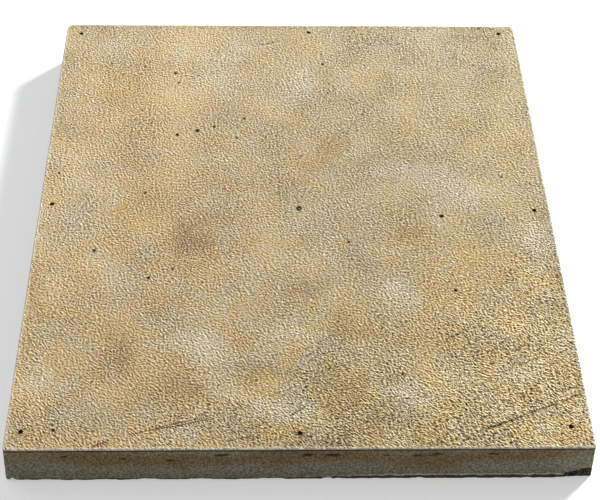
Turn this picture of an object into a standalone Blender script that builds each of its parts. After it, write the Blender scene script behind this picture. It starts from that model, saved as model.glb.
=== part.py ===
"""A faced stone slab: a thin textured facing bedded and pinned onto a thick backing.

The slab lies flat with its working face up. The origin is the middle of its underside, X runs along
the front edge, Y runs from front to back and Z is up. All sizes are in metres.
"""

import math

import bmesh
import bpy
from mathutils import Matrix, Vector

# Plan of the working face. The layers under it share its outline.
SLAB_WIDTH = 0.320
SLAB_DEPTH = 0.362
FRONT_CORNER_RADIUS = 0.0018
BACK_CORNER_RADIUS = 0.0045

# The left and right walls lean out by this much, from the working face down to the underside.
SIDE_LEAN = 0.0024

# The three layers, from the bottom up, and the gap kept wherever two pieces touch.
BACKING_THICKNESS = 0.0223
BED_THICKNESS = 0.0010
FACING_THICKNESS = 0.0061
TOUCH_GAP = 0.0003

# The bed is scraped back a little from the edge of the slab.
BED_SETBACK = 0.0004

# Softened edges round the working face and round the underside.
WORKING_ARRIS = 0.0010
BOTTOM_ARRIS = 0.0005

# Pins, and the holes that they stand in.
PIN_DIAMETER = 0.0020
PIN_CLEARANCE = 0.0003
PIN_EMBEDMENT = 0.0120
PIN_SINK = 0.0020
CENTRE_PIN_SINK = 0.0006
PIN_END_BEVEL = 0.0003
HOLE_END_ROOM = 0.0010
CENTRE_MOUTH_WIDENING = 0.0005
CENTRE_MOUTH_DEPTH = 0.0020

# The outer rows of pins stand this far in from the edges of the slab.
PIN_INSET_X = 0.0100
PIN_INSET_Y = 0.0105

# Each pin was set by hand: its column and row, and how far it strays from them along X and Y.
PINS = {
    "pin_back_left": (-1, 1, 0.0005, 0.0005),
    "pin_back_middle": (0, 1, 0.0120, 0.0025),
    "pin_back_right": (1, 1, -0.0020, 0.0020),
    "pin_middle_left": (-1, 0, -0.0025, 0.0025),
    "pin_centre": (0, 0, 0.0020, -0.0015),
    "pin_middle_right": (1, 0, 0.0000, -0.0030),
    "pin_front_left": (-1, -1, -0.0015, 0.0015),
    "pin_front_middle": (0, -1, -0.0005, 0.0000),
    "pin_front_right": (1, -1, -0.0020, 0.0035),
}
CENTRE_PIN = "pin_centre"

# The piece broken out of the backing's front right bottom corner: its reach along each edge.
BROKEN_ALONG_FRONT = 0.0190
BROKEN_ALONG_SIDE = 0.0014
BROKEN_UP_CORNER = 0.0105

# How finely round shapes are cut into flats.
CORNER_FLATS = 6
HOLE_SIDES = 24
BREAK_SIDES = 32
BREAK_RINGS = 16

# Heights that follow from the layers.
BACKING_TOP = BACKING_THICKNESS
BED_BOTTOM = BACKING_TOP + TOUCH_GAP
BED_TOP = BED_BOTTOM + BED_THICKNESS
FACING_BOTTOM = BED_TOP + TOUCH_GAP
SLAB_TOP = FACING_BOTTOM + FACING_THICKNESS
PIN_BOTTOM = BACKING_TOP - PIN_EMBEDMENT
HOLE_BOTTOM = PIN_BOTTOM - HOLE_END_ROOM
HOLE_DIAMETER = PIN_DIAMETER + 2 * PIN_CLEARANCE
CENTRE_MOUTH_DIAMETER = HOLE_DIAMETER + 2 * CENTRE_MOUTH_WIDENING

# Drills run past the top of what they cut by this much.
DRILL_OVERRUN = 0.0020


def clear_scene():
    """Remove every object that is already in the scene."""
    for old in list(bpy.data.objects):
        bpy.data.objects.remove(old, do_unlink=True)


def make_material(name, colour, roughness, metallic=0.0):
    """A plain Principled material."""
    material = bpy.data.materials.new(name)
    material.use_nodes = True
    material.diffuse_color = (*colour, 1.0)
    shader = material.node_tree.nodes["Principled BSDF"]
    shader.inputs["Base Color"].default_value = (*colour, 1.0)
    shader.inputs["Roughness"].default_value = roughness
    shader.inputs["Metallic"].default_value = metallic
    return material


def add_object(name, mesh_builder, material=None):
    """Turn a bmesh into a named object in the scene."""
    bmesh.ops.recalc_face_normals(mesh_builder, faces=mesh_builder.faces)
    mesh = bpy.data.meshes.new(name)
    mesh_builder.to_mesh(mesh)
    mesh_builder.free()
    if material:
        mesh.materials.append(material)
    obj = bpy.data.objects.new(name, mesh)
    bpy.context.scene.collection.objects.link(obj)
    return obj


def half_width(height):
    """Half the slab's width at a height: its side walls lean out towards the underside."""
    return SLAB_WIDTH / 2 + SIDE_LEAN * (1 - height / SLAB_TOP)


def rounded_outline(half_x, half_y, setback):
    """Points of the slab's outline, set back, anticlockwise from the right end of the front edge."""
    points = []
    corners = ((1, -1, 270), (1, 1, 0), (-1, 1, 90), (-1, -1, 180))
    for side_x, side_y, start in corners:
        full_radius = FRONT_CORNER_RADIUS if side_y < 0 else BACK_CORNER_RADIUS
        centre = Vector((side_x * (half_x - full_radius), side_y * (half_y - full_radius)))
        radius = full_radius - setback
        for step in range(CORNER_FLATS + 1):
            angle = math.radians(start + 90 * step / CORNER_FLATS)
            points.append(centre + radius * Vector((math.cos(angle), math.sin(angle))))
    return points


def make_plate(name, levels, material):
    """A rounded plate, built up from levels of (setback from the slab's edge, height)."""
    builder = bmesh.new()
    rings = []
    for setback, height in levels:
        outline = rounded_outline(half_width(height), SLAB_DEPTH / 2, setback)
        rings.append([builder.verts.new((point.x, point.y, height)) for point in outline])
    for lower, upper in zip(rings, rings[1:]):
        for index in range(len(lower)):
            after = (index + 1) % len(lower)
            builder.faces.new((lower[index], lower[after], upper[after], upper[index]))
    builder.faces.new(reversed(rings[0]))
    builder.faces.new(rings[-1])
    return add_object(name, builder, material)


def add_cylinder(builder, place, diameter, bottom, top):
    """Add a closed upright cylinder to a bmesh."""
    middle = Matrix.Translation((place.x, place.y, (bottom + top) / 2))
    bmesh.ops.create_cone(
        builder,
        cap_ends=True,
        segments=HOLE_SIDES,
        radius1=diameter / 2,
        radius2=diameter / 2,
        depth=top - bottom,
        matrix=middle,
    )


def cut(obj, cutter):
    """Take a cutter's shape out of an object."""
    cutter.hide_render = True
    cutter.display_type = "WIRE"
    boolean = obj.modifiers.new(cutter.name, "BOOLEAN")
    boolean.operation = "DIFFERENCE"
    boolean.solver = "EXACT"
    boolean.object = cutter


def pin_places():
    """Where each pin stands in plan."""
    column = SLAB_WIDTH / 2 - PIN_INSET_X
    row = SLAB_DEPTH / 2 - PIN_INSET_Y
    return {
        name: Vector((at_x * column + stray_x, at_y * row + stray_y))
        for name, (at_x, at_y, stray_x, stray_y) in PINS.items()
    }


def make_drills(places):
    """One cutter with a drill at each pin, and a second one for the wide mouth of the centre hole."""
    drills = bmesh.new()
    for place in places.values():
        add_cylinder(drills, place, HOLE_DIAMETER, HOLE_BOTTOM, SLAB_TOP + DRILL_OVERRUN)
    mouth = bmesh.new()
    mouth_bottom = SLAB_TOP - CENTRE_MOUTH_DEPTH
    mouth_top = SLAB_TOP + DRILL_OVERRUN
    add_cylinder(mouth, places[CENTRE_PIN], CENTRE_MOUTH_DIAMETER, mouth_bottom, mouth_top)
    return add_object("pin_drills", drills), add_object("centre_mouth_drill", mouth)


def make_break():
    """The rounded lump that broke out of the backing's front right bottom corner."""
    lump = bmesh.new()
    corner = Matrix.Translation((half_width(0), -SLAB_DEPTH / 2, 0))
    reach = Matrix.Diagonal((BROKEN_ALONG_FRONT, BROKEN_ALONG_SIDE, BROKEN_UP_CORNER, 1))
    bmesh.ops.create_uvsphere(
        lump, u_segments=BREAK_SIDES, v_segments=BREAK_RINGS, radius=1, matrix=corner @ reach
    )
    return add_object("corner_break", lump)


def make_backing(drills):
    """The thick slab underneath, with a blind hole for each pin and a broken corner."""
    levels = ((BOTTOM_ARRIS, 0), (0, BOTTOM_ARRIS), (0, BACKING_TOP))
    grey_stone = make_material("grey_stone", (0.29, 0.27, 0.20), 0.85)
    backing = make_plate("backing_slab", levels, grey_stone)
    cut(backing, drills)
    cut(backing, make_break())
    return backing


def make_bed(drills):
    """The thin bed of stone adhesive between backing and facing."""
    levels = ((BED_SETBACK, BED_BOTTOM), (BED_SETBACK, BED_TOP))
    adhesive = make_material("stone_adhesive", (0.16, 0.12, 0.08), 0.7)
    bed = make_plate("bonding_bed", levels, adhesive)
    cut(bed, drills)
    return bed


def make_facing(drills, mouth_drill):
    """The tan panel on top, with a hole right through it for each pin."""
    shoulder = SLAB_TOP - WORKING_ARRIS
    levels = ((0, FACING_BOTTOM), (0, shoulder), (WORKING_ARRIS, SLAB_TOP))
    tan_stone = make_material("tan_stone", (0.50, 0.38, 0.22), 0.75)
    facing = make_plate("facing_panel", levels, tan_stone)
    cut(facing, drills)
    cut(facing, mouth_drill)
    return facing


def make_pin(name, place, steel):
    """A headless steel pin with a small bevel round each end."""
    builder = bmesh.new()
    top = SLAB_TOP - (CENTRE_PIN_SINK if name == CENTRE_PIN else PIN_SINK)
    add_cylinder(builder, Vector((0, 0)), PIN_DIAMETER, PIN_BOTTOM, top)
    rims = [edge for edge in builder.edges if edge.verts[0].co.z == edge.verts[1].co.z]
    bmesh.ops.bevel(
        builder, geom=rims, offset=PIN_END_BEVEL, segments=2, profile=0.5, affect="EDGES"
    )
    pin = add_object(name, builder, steel)
    pin.location = (place.x, place.y, 0)
    pin.data.shade_smooth()
    pin.data.set_sharp_from_angle(angle=math.radians(35))
    return pin


def main():
    clear_scene()
    places = pin_places()
    drills, mouth_drill = make_drills(places)
    make_backing(drills)
    make_bed(drills)
    make_facing(drills, mouth_drill)
    steel = make_material("dull_steel", (0.33, 0.31, 0.28), 0.45, metallic=1.0)
    for name, place in places.items():
        make_pin(name, place, steel)


main()
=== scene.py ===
"""Looks of the faced stone slab, laid over its fixed frame.

The slab lies flat: X runs along the front edge, Y from front to back, Z up out of the grained working
face. Lengths are in metres, except in the relief of the working face, which is worked out in millimetres.
"""

import math

import bmesh
import bpy
import numpy as np
from mathutils import Euler, Matrix, Vector


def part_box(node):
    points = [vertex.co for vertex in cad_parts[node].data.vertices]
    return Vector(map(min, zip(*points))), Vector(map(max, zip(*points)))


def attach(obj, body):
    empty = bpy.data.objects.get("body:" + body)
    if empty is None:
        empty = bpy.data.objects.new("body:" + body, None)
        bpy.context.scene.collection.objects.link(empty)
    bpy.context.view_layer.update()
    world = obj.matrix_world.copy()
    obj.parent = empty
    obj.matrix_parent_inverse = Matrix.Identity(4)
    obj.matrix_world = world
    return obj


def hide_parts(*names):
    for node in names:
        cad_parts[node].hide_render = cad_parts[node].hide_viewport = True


bl_info = {
    "name": "Faced Stone Slab",
    "version": (1, 0, 0),
    "blender": (4, 5, 0),
    "location": "3D View > Sidebar > Stone Slab",
    "description": "Builds the grained, faced and pinned stone slab and its plain studio",
    "category": "Object",
}

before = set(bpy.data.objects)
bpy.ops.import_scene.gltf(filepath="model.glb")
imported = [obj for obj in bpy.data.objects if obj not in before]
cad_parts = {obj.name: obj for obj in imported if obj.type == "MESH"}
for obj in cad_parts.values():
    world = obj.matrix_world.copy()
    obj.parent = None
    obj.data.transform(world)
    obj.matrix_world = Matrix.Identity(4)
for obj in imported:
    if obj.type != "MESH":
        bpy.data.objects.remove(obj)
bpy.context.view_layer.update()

MM = 0.001

FACING_LOW, FACING_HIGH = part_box("facing_panel")
BED_LOW, BED_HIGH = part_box("bonding_bed")
BACKING_LOW, BACKING_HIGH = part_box("backing_slab")
PIN_NAMES = sorted(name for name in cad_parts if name.startswith("pin_"))

# Plan of the working face. The left and right walls lean out from it towards the underside.
SIDE_LEAN = 2.4 * MM
TOP = FACING_HIGH.z
HALF_WIDTH = FACING_HIGH.x - SIDE_LEAN * (1 - FACING_LOW.z / TOP)
HALF_DEPTH = FACING_HIGH.y
FRONT_CORNER_RADIUS = 1.8 * MM
BACK_CORNER_RADIUS = 4.5 * MM

# The joint between the facing and the backing, filled by the squeezed-out bed.
JOINT_TOP = (FACING_LOW.z + BED_HIGH.z) / 2
JOINT_BOTTOM = (BACKING_HIGH.z + BED_LOW.z) / 2

# Holes stand this far off their pins, and the centre hole has a wider mouth.
CENTRE_PIN = "pin_centre"
PIN_CLEARANCE = 0.3 * MM
MOUTH_WIDENING = 0.5 * MM
MOUTH_DEPTH = 2.0 * MM

# The pins' holes end this high up in the backing. Drills run past what they cut by the overrun.
HOLE_BOTTOM = 9.3 * MM
HOLE_SIDES = 32
DRILL_OVERRUN = 2 * MM

# Open pits in the working face: X and Y in millimetres from the slab's middle, and width in millimetres.
PITS = (
    (-81, 128, 1.6),
    (-78, 118, 1.3),
    (-77, 66, 1.7),
    (-123, -37, 1.5),
    (-89, -59, 1.5),
    (-75, -52, 1.1),
    (-38, 63, 1.2),
    (-33, 82, 1.5),
    (91, -8, 1.9),
    (94, -69, 1.5),
    (-64, 70, 2.0),
    (-53, 74, 1.4),
    (-95, 12, 1.2),
    (21, 138, 1.5),
    (32, -30, 1.2),
    (4, 46, 0.9),
    (-151, 30, 1.0),
    (133, 27, 0.9),
    (58, -131, 1.0),
    (-134, -168, 1.3),
    (91, -174, 0.9),
)

# A listed pit's worn mouth has this radius for each millimetre of its width. The stray pits, strewn
# between the listed ones, have mouths of these radii in millimetres.
PIT_MOUTH = 0.82
STRAY_PITS = 46
STRAY_MOUTHS = (0.20, 0.42)

# Scratches in the working face: their points in millimetres, width, and depth in millimetres.
SCRATCHES = (
    (((-94, -171.5), (-87, -169.6), (-74, -166.5), (-66, -165.2), (-57, -162.7), (-48, -160.8)), 0.62, 0.20),
    (((-82, -168.4), (-72, -164.8), (-62, -162.3), (-50, -159.8)), 0.45, 0.12),
    (((-113, -180), (-109, -177), (-104, -175.5)), 0.95, 0.35),
    (((100, -168.2), (109, -165.3), (117, -162.1), (126, -158.0)), 0.78, 0.24),
    (((125, -158.2), (134, -154.5), (142, -151.6)), 0.42, 0.15),
    (((146, -149.8), (158, -144.3)), 0.32, 0.08),
    (((-23, 159), (-16, 161), (-9, 163)), 0.50, 0.18),
    (((8, 177), (14, 179)), 0.45, 0.15),
    (((-5, -158.8), (-2, -156.2), (2, -153.8)), 0.40, 0.12),
    (((-40, -176), (-31, -173), (-21, -172)), 0.40, 0.10),
)

# Clouds on the working face: X, Y, half length, half width, turn in degrees, strength. Millimetres.
LIGHT_CLOUDS = (
    (-48, 140, 17, 34, 0, 0.90),
    (-84, 128, 60, 60, 0, 0.60),
    (-70, 168, 60, 26, 0, 0.35),
    (150, -72, 36, 60, 0, 0.60),
    (118, -84, 30, 22, 0, 0.35),
    (2, 114, 17, 27, -25, 0.60),
    (98, 20, 18, 24, 0, 0.75),
    (62, 35, 24, 9, 0, 0.45),
    (148, -31, 9, 22, 0, 0.90),
    (17, -36, 13, 10, 0, 0.50),
    (59, -71, 13, 13, 0, 0.60),
    (-3, -101, 22, 9, 0, 0.70),
    (-53, -115, 30, 14, -38, 0.95),
    (-33, -145, 42, 8, -27, 0.85),
    (-14, -142, 15, 6, 0, 0.45),
    (-63, -167, 23, 12, 0, 0.80),
    (1, -157, 22, 10, -15, 0.90),
    (57, -142, 18, 9, 0, 0.70),
    (-108, -60, 14, 15, 0, 0.45),
    (-144, -141, 13, 26, 0, 0.75),
    (-126, -20, 30, 80, 0, 0.30),
    (-132, 60, 60, 190, 0, 0.40),
    (-155, -40, 30, 170, 0, 0.50),
    (150, -160, 120, 120, 0, 2.00),
    (10, -180, 190, 40, 0, 0.45),
)
DARK_CLOUDS = (
    (-67, -28, 16, 18, 0, 1.60),
    (-51, -11, 14, 14, 0, 0.60),
    (7, -66, 17, 14, 0, 1.15),
    (-113, 108, 20, 18, 0, 0.55),
    (17, 44, 44, 12, 58, 0.65),
    (62, 124, 11, 24, 0, 0.45),
    (42, 152, 12, 18, 0, 0.35),
    (122, 169, 18, 10, 0, 0.60),
    (-103, -114, 11, 23, 0, 1.00),
    (-68, -141, 24, 17, 0, 1.05),
    (-155, -72, 8, 26, 0, 0.80),
    (27, -97, 17, 13, 0, 0.60),
    (22, -141, 22, 15, 0, 0.90),
    (-20, -127, 22, 9, 0, 1.10),
    (-38, -170, 24, 7, 0, 0.55),
    (66, -103, 30, 12, 0, 0.60),
    (84, -117, 20, 10, 0, 0.40),
    (77, -21, 22, 11, 0, 0.50),
    (42, -41, 11, 32, 0, 0.50),
    (118, -118, 26, 14, 0, 0.35),
    (-82, -5, 60, 20, 0, 0.25),
    (8, -177, 30, 6, 0, 0.70),
    (44, -166, 22, 9, 0, 0.55),
    (38, 30, 60, 90, 0, 0.50),
    (-102, -160, 24, 15, 0, 0.60),
    (100, 150, 60, 40, 0, 0.20),
)
WARM_CLOUDS = (
    (-67, -28, 20, 20, 0, 1.00),
    (-113, 106, 34, 40, 0, 0.60),
    (-92, 0, 40, 44, 0, 0.50),
    (17, 46, 44, 13, 58, 0.70),
    (60, 128, 14, 30, 0, 0.40),
    (-102, -112, 16, 28, 0, 0.90),
    (-68, -142, 28, 20, 0, 0.95),
    (24, -141, 26, 18, 0, 1.20),
    (-23, -135, 20, 11, 0, 0.90),
    (66, -104, 34, 15, 0, 0.90),
    (27, -97, 20, 15, 0, 0.80),
    (7, -66, 17, 14, 0, 0.50),
    (77, -24, 24, 16, 0, 0.60),
    (-155, -72, 10, 30, 0, 0.60),
    (100, -52, 66, 44, 0, 0.40),
    (-60, 60, 90, 120, 0, 0.15),
    (140, -150, 110, 110, 0, 0.10),
    (20, -175, 80, 12, 0, 0.50),
    (130, 90, 60, 120, 0, 0.15),
)
COOL_CLOUDS = (
    (-53, -115, 32, 16, -38, 1.10),
    (-33, -145, 42, 9, -27, 0.60),
    (98, 20, 19, 26, 0, 0.90),
    (2, 114, 18, 28, -25, 0.75),
    (-48, 138, 16, 32, 0, 0.65),
    (62, 35, 24, 9, 0, 0.55),
    (0, -14, 22, 18, 0, 0.55),
    (17, -37, 14, 11, 0, 0.70),
    (59, -71, 15, 15, 0, 0.90),
    (-3, -101, 22, 9, 0, 0.60),
    (1, -157, 24, 11, -15, 1.10),
    (-63, -167, 24, 12, 0, 0.90),
    (57, -142, 19, 10, 0, 0.75),
    (148, -31, 10, 22, 0, 0.90),
    (-108, -60, 16, 17, 0, 0.50),
    (-144, -141, 14, 26, 0, 0.40),
    (-128, 10, 24, 60, 0, 0.35),
    (118, 150, 60, 40, 0, 0.25),
)

# Brown stains on the front edge, in millimetres: middle along X, half length, middle height, half
# height, strength.
EDGE_STAINS = (
    (-98, 42, 20.5, 8.0, 1.2),
    (-56, 36, 18.5, 7.0, 1.0),
    (-14, 20, 19.5, 8.0, 1.1),
    (32, 32, 20.0, 7.0, 0.7),
    (72, 26, 17.5, 10.0, 1.1),
    (112, 42, 22.0, 6.0, 1.0),
)

# Dark flaws along the joint in the front edge, in millimetres: middle along X, half length, middle
# height, half height.
EDGE_FLAWS = (
    (-43, 6.5, 24.0, 1.3),
    (4, 4.0, 24.2, 1.2),
    (17, 6.0, 23.6, 1.6),
    (46, 3.0, 23.0, 0.9),
    (74, 3.5, 24.0, 1.3),
    (104, 4.0, 24.2, 1.2),
    (-96, 3.0, 21.0, 0.9),
    (-70, 4.0, 19.5, 0.8),
    (-128, 2.5, 23.5, 0.9),
)

# Nicks along the bottom edge, in millimetres: X and Y on the outline, and reach along X, Y and Z.
NICKS = (
    (15, -181, 3.6, 1.5, 1.7),
    (21, -181, 2.2, 1.2, 1.1),
    (66, -181, 2.6, 1.3, 1.4),
    (-158, -179.5, 2.2, 2.0, 3.6),
    (126, -181, 3.0, 1.0, 0.9),
    (-92, -181, 2.6, 0.8, 0.7),
    (160, -60, 1.4, 4.0, 1.8),
    (160, 96, 1.1, 2.8, 1.2),
    (-160, 40, 1.3, 3.4, 1.6),
    (-160, -104, 1.0, 2.4, 1.0),
    (-70, 181, 4.2, 1.4, 1.8),
    (52, 181, 2.6, 1.2, 1.2),
    (154, 179, 3.4, 3.2, 3.0),
)

SEEDS = {"grain": 11, "warp": 23, "swell": 37, "edge": 41, "pits": 59, "rock": 71, "drift": 83}


# ---- Sizes and colours that a user would change ----


def length_setting(name, description, default, lowest=0.0):
    """A length in a property group."""
    return bpy.props.FloatProperty(
        name=name, description=description, default=default, min=lowest, unit="LENGTH"
    )


def colour_setting(name, description, default):
    """A colour in a property group."""
    return bpy.props.FloatVectorProperty(
        name=name, description=description, default=default, subtype="COLOR"
    )


class SlabSizes(bpy.types.PropertyGroup):
    """Sizes of the slab's surface detail."""

    face_step: length_setting(
        "Face step", "Spacing of the points that carry the grain", 0.45 * MM, 0.3 * MM
    )
    wall_step: length_setting(
        "Wall step", "Spacing of the points that carry the roughness of the edges", 0.9 * MM, 0.3 * MM
    )
    grain_depth: length_setting(
        "Grain depth", "Height of the leather-like grain from crease to crown", 0.70 * MM
    )
    arris: length_setting("Arris", "Softening of the edge round the working face", 0.9 * MM)
    wall_roughness: length_setting(
        "Edge roughness", "How far the sawn edges fall back from flat", 0.22 * MM
    )


class SlabColours(bpy.types.PropertyGroup):
    """Colours of the slab."""

    warm_buff: colour_setting("Warm buff", "Ochre tone of the working face", (0.560, 0.372, 0.160))
    olive_buff: colour_setting(
        "Olive buff", "Yellower ochre towards the front right", (0.535, 0.378, 0.148)
    )
    cool_buff: colour_setting("Cool buff", "Cream grey tone of the working face", (0.505, 0.428, 0.280))
    edge_grey: colour_setting("Edge grey", "Olive grey of the sawn edges", (0.168, 0.160, 0.104))
    edge_brown: colour_setting("Edge brown", "Iron stain on the sawn edges", (0.146, 0.098, 0.038))
    # Painted shade: this near-black is painted into pits, pin holes, scratches, the open gaps of the joint
    # and along the foot of the walls.
    painted_shade_dark: colour_setting("Pit dark", "Dirt in pits and pin holes", (0.030, 0.022, 0.014))
    steel: colour_setting("Pin steel", "Dull steel of the pins", (0.20, 0.18, 0.16))
    floor: colour_setting("Floor", "Plain pale floor", (0.90, 0.90, 0.90))


# ---- Relief, in millimetres ----


class PlanNoise:
    """Smooth noise over plan positions, about -1 to 1, the same each time for a seed."""

    CELLS = 256

    def __init__(self, seed):
        angles = np.random.RandomState(seed).uniform(0, 2 * math.pi, (self.CELLS, self.CELLS))
        self.slopes = np.stack([np.cos(angles), np.sin(angles)], axis=-1)

    def __call__(self, across, along):
        column = np.floor(across).astype(int)
        row = np.floor(along).astype(int)
        part_x = across - column
        part_y = along - row
        ease_x = part_x**3 * (part_x * (part_x * 6 - 15) + 10)
        ease_y = part_y**3 * (part_y * (part_y * 6 - 15) + 10)

        def pull(step_x, step_y):
            slope = self.slopes[(column + step_x) % self.CELLS, (row + step_y) % self.CELLS]
            return slope[..., 0] * (part_x - step_x) + slope[..., 1] * (part_y - step_y)

        near = pull(0, 0) * (1 - ease_x) + pull(1, 0) * ease_x
        far = pull(0, 1) * (1 - ease_x) + pull(1, 1) * ease_x
        return (near * (1 - ease_y) + far * ease_y) * 1.5


def ease(value, low, high):
    """A smooth step from 0 at low to 1 at high."""
    share = np.clip((value - low) / (high - low), 0, 1)
    return share * share * (3 - 2 * share)


class FaceRelief:
    """The working face's leather-like grain, its swells and its scratches."""

    # The wrinkles follow each other in this direction, and are this wide and this long.
    WRINKLE_TURN = math.radians(52)
    WRINKLE_WIDTH = 0.63
    WRINKLE_LENGTH = 1.70

    # The wrinkles wander by these reaches, over these lengths.
    BEND, BEND_LENGTH = 2.2, 17
    QUIVER, QUIVER_LENGTH = 0.2, 4.3

    # The grain's share of its depth at the back left, its gain towards the front right, and its limits.
    BACK_LEFT, GAIN = 0.78, 0.66
    SHALLOWEST, DEEPEST = 0.4, 1.6

    def __init__(self, depth):
        self.depth = depth / MM
        self.grain = PlanNoise(SEEDS["grain"])
        self.warp = PlanNoise(SEEDS["warp"])
        self.swell = PlanNoise(SEEDS["swell"])

    def strength(self, x, y):
        """How deep the grain is at a place: deepest towards the front right, smoother in patches."""
        front_right = ease(x * 0.6 - y * 0.8, 60, 190)
        patches = self.swell(x / 30 + 5, y / 30) * 0.40
        share = self.BACK_LEFT + self.GAIN * front_right + patches
        return np.clip(share, self.SHALLOWEST, self.DEEPEST)

    def wrinkles(self, x, y):
        """The grain itself, about -1 to 1."""
        wide_x, wide_y = x / self.BEND_LENGTH, y / self.BEND_LENGTH
        near_x, near_y = x / self.QUIVER_LENGTH, y / self.QUIVER_LENGTH
        bent_x = x + self.BEND * self.warp(wide_x, wide_y)
        bent_x += self.QUIVER * self.warp(near_x, near_y + 9)
        bent_y = y + self.BEND * self.warp(wide_x + 40, wide_y)
        bent_y += self.QUIVER * self.warp(near_x + 31, near_y)
        cosine, sine = math.cos(self.WRINKLE_TURN), math.sin(self.WRINKLE_TURN)
        across = (bent_x * cosine + bent_y * sine) / self.WRINKLE_WIDTH
        along = (bent_y * cosine - bent_x * sine) / self.WRINKLE_LENGTH
        coarse = self.grain(across, along)
        broad = self.grain(across * 0.45 + 120, along * 0.5 + 90)
        return np.clip(coarse * 1.1 + broad * 0.12, -1.2, 1.2)

    def swells(self, x, y):
        """Broad unevenness of the face."""
        return 0.10 * self.swell(x / 55, y / 55) + 0.05 * self.swell(x / 16 + 60, y / 16)

    def scratch(self, x, y):
        """(depth in millimetres, painted shade from 0 to 1) of the scratches."""
        depth = np.zeros_like(x)
        recess_shade = np.zeros_like(x)
        for points, width, deep in SCRATCHES:
            distance, share = distance_to_path(x, y, points)
            taper = np.clip(np.minimum(share, 1 - share) * 6 + 0.35, 0, 1)
            broken = np.clip(0.95 + 0.4 * self.grain(x / 5.3 + 11, y / 5.3), 0.65, 1)
            groove = np.exp(-((distance / (width * 0.5)) ** 2)) * taper * broken
            depth = np.maximum(depth, groove * deep)
            recess_shade = np.maximum(recess_shade, groove)
        return depth, recess_shade


class FaceTones:
    """Where the working face is lighter, darker, warmer and cooler, in millimetres."""

    # Layers of the noise that tears the clouds' outlines, its largest features and its reach.
    LAYERS = 4
    TEAR_LENGTH = 24
    TEAR_REACH = 7

    def __init__(self):
        self.drift = PlanNoise(SEEDS["drift"])

    def layered(self, x, y, size):
        """Noise in layers, each half as large as the one before."""
        total = np.zeros_like(x)
        for level in range(self.LAYERS):
            fineness = 2**level / size
            total += 0.6**level * self.drift(x * fineness + 17 * level, y * fineness + 29 * level)
        return total

    def clouds(self, x, y, spots):
        """Soft-edged ellipses added up, each with its own strength."""
        total = np.zeros_like(x)
        for middle_x, middle_y, long, wide, turn, strength in spots:
            angle = math.radians(turn)
            across = (x - middle_x) * math.cos(angle) + (y - middle_y) * math.sin(angle)
            along = (y - middle_y) * math.cos(angle) - (x - middle_x) * math.sin(angle)
            total += strength * ease(np.hypot(across / long, along / wide), 1.25, 0.1)
        return total

    def __call__(self, x, y):
        """(lightness, warmth) about zero."""
        torn_x = x + self.TEAR_REACH * self.layered(x, y, self.TEAR_LENGTH)
        torn_y = y + self.TEAR_REACH * self.layered(x + 300, y, self.TEAR_LENGTH)
        light, dark, warm, cool = (
            self.clouds(torn_x, torn_y, spots)
            for spots in (LIGHT_CLOUDS, DARK_CLOUDS, WARM_CLOUDS, COOL_CLOUDS)
        )
        return light - dark, warm - cool


def distance_to_path(x, y, points):
    """How far each place lies from a path, and how far along the path it is from 0 to 1."""
    best = np.full(x.shape, 1e9)
    share = np.zeros_like(x)
    lengths = [math.dist(a, b) for a, b in zip(points, points[1:])]
    gone = 0.0
    for (start, end), length in zip(zip(points, points[1:]), lengths):
        run = np.array(end, float) - start
        part = np.clip(((x - start[0]) * run[0] + (y - start[1]) * run[1]) / length**2, 0, 1)
        away = np.hypot(x - start[0] - part * run[0], y - start[1] - part * run[1])
        closer = away < best
        best = np.where(closer, away, best)
        share = np.where(closer, (gone + part * length) / sum(lengths), share)
        gone += length
    return best, share


# ---- Outlines and meshes ----


def corner_radius(side_y):
    """The plan radius of the front or the back corners."""
    return FRONT_CORNER_RADIUS if side_y < 0 else BACK_CORNER_RADIUS


def outline(step):
    """The working face's rounded outline: places (n, 2), outward directions (n, 2) and run (n)."""
    half = np.array([HALF_WIDTH, HALF_DEPTH])
    places, directions = [], []
    corners = ((1, -1, -90), (1, 1, 0), (-1, 1, 90), (-1, -1, 180))
    for index, (side_x, side_y, start) in enumerate(corners):
        radius = corner_radius(side_y)
        centre = np.array([side_x, side_y]) * (half - radius)
        arc_steps = max(6, round(radius * math.pi / 2 / step))
        for turn in range(arc_steps + 1):
            angle = math.radians(start + 90 * turn / arc_steps)
            direction = np.array([math.cos(angle), math.sin(angle)])
            places.append(centre + radius * direction)
            directions.append(direction)
        following = corners[(index + 1) % 4]
        next_radius = corner_radius(following[1])
        begin = places[-1]
        end = np.array(following[:2]) * (half - next_radius) + next_radius * directions[-1]
        count = round(np.linalg.norm(end - begin) / step)
        for number in range(1, count):
            places.append(begin + (end - begin) * number / count)
            directions.append(directions[-1])
    places, directions = np.array(places), np.array(directions)
    run = np.r_[0, np.cumsum(np.linalg.norm(np.diff(places, axis=0), axis=1))]
    return places, directions, run


def leaned(plan, height):
    """Plan places moved out to where the leaning side walls stand at a height."""
    lean = SIDE_LEAN * (1 - height / TOP)
    return plan * (1 + lean / HALF_WIDTH, 1.0)


# How far the outline falls back from the true rectangle, in millimetres: as a bow, in waves and in
# small bites.
BOW = 0.15
WAVES = 0.12
BITES = 0.22


def edge_fall(places, run):
    """How far the outline falls back from the true rectangle at each of its places."""
    noise = PlanNoise(SEEDS["edge"])
    bow = (places[:, 1] / HALF_DEPTH) ** 2 * BOW * MM
    on_side = np.abs(places[:, 0]) > HALF_WIDTH - BACK_CORNER_RADIUS
    uneven = (0.5 + 0.5 * noise(run / MM / 21, 0.5 + 0 * run)) * WAVES * MM
    nibbled = np.clip(noise(run / MM / 3.1, 7.5 + 0 * run) - 0.35, 0, 1) * BITES * MM
    return np.where(on_side, bow, 0) + uneven + nibbled


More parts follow.
